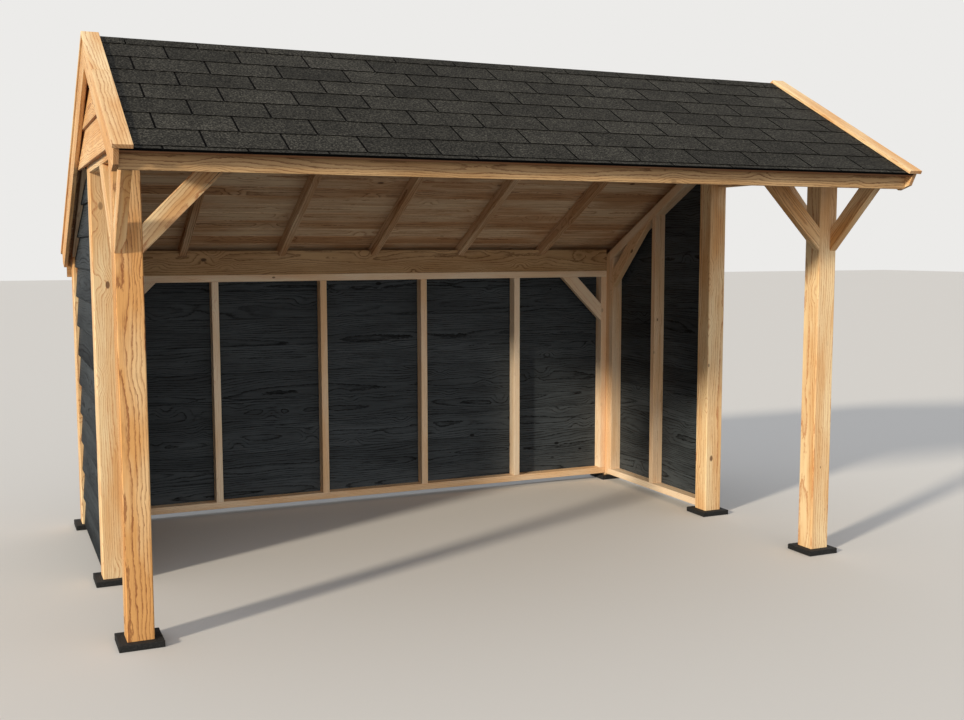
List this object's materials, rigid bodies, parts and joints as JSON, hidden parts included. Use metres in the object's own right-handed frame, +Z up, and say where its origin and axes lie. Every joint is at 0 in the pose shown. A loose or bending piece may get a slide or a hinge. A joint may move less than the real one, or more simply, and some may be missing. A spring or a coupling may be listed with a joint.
{
  "type": "open-fronted garden shelter",
  "caption": "Timber garden shelter, open at the front, with black lapped boards on the back and half of each side, braced posts on rubber pads and a shingled saddle roof.",
  "frame": {"origin": "centre of the roof's plan at ground level, on the underside of the rubber pads", "axes": "+X along the ridge to the right as seen from the open front, +Y from the open front to the back wall, +Z up"},
  "size_m": [4.056, 3.147, 2.789],
  "materials": {
    "frame_timber": "planed, untreated softwood",
    "trim_timber": "planed, untreated softwood boards",
    "roof_boards": "planed boards, untreated",
    "black_boards": "fine-sawn, stained black",
    "shingle": "mineral granules on bitumen felt",
    "rubber_pad": "bonded rubber granules"
  },
  "bodies": {
    "root": {"foot_pads": "rubber_pad", "post_front_left": "frame_timber", "post_front_right": "frame_timber", "post_middle_left": "frame_timber", "post_middle_right": "frame_timber", "post_rear_left": "frame_timber", "post_rear_right": "frame_timber", "front_beam": "frame_timber", "side_beam_left": "frame_timber", "side_beam_right": "frame_timber", "rear_beam": "frame_timber", "front_eave_board": "trim_timber", "rear_eave_board": "trim_timber", "rafters_front": "frame_timber", "rafters_rear": "frame_timber", "roof_boards_front": "roof_boards", "roof_boards_rear": "roof_boards", "shingles_front": "shingle", "shingles_rear": "shingle", "ridge_strip": "shingle", "bargeboard_front_left": "trim_timber", "bargeboard_front_right": "trim_timber", "bargeboard_rear_left": "trim_timber", "bargeboard_rear_right": "trim_timber", "verge_cap_front_left": "trim_timber", "verge_cap_front_right": "trim_timber", "verge_cap_rear_left": "trim_timber", "verge_cap_rear_right": "trim_timber", "gable_boards_left": "trim_timber", "gable_boards_right": "trim_timber", "rear_sill": "frame_timber", "rear_rail": "frame_timber", "rear_studs": "frame_timber", "side_sill_left": "frame_timber", "side_sill_right": "frame_timber", "side_rail_left": "frame_timber", "side_rail_right": "frame_timber", "side_studs_left": "frame_timber", "side_studs_right": "frame_timber", "side_boards_left": "black_boards", "side_boards_right": "black_boards", "rear_boards": "black_boards", "braces_front_left": "frame_timber", "braces_front_right": "frame_timber", "braces_rear_left": "frame_timber", "braces_rear_right": "frame_timber"}
  },
  "joints": []
}
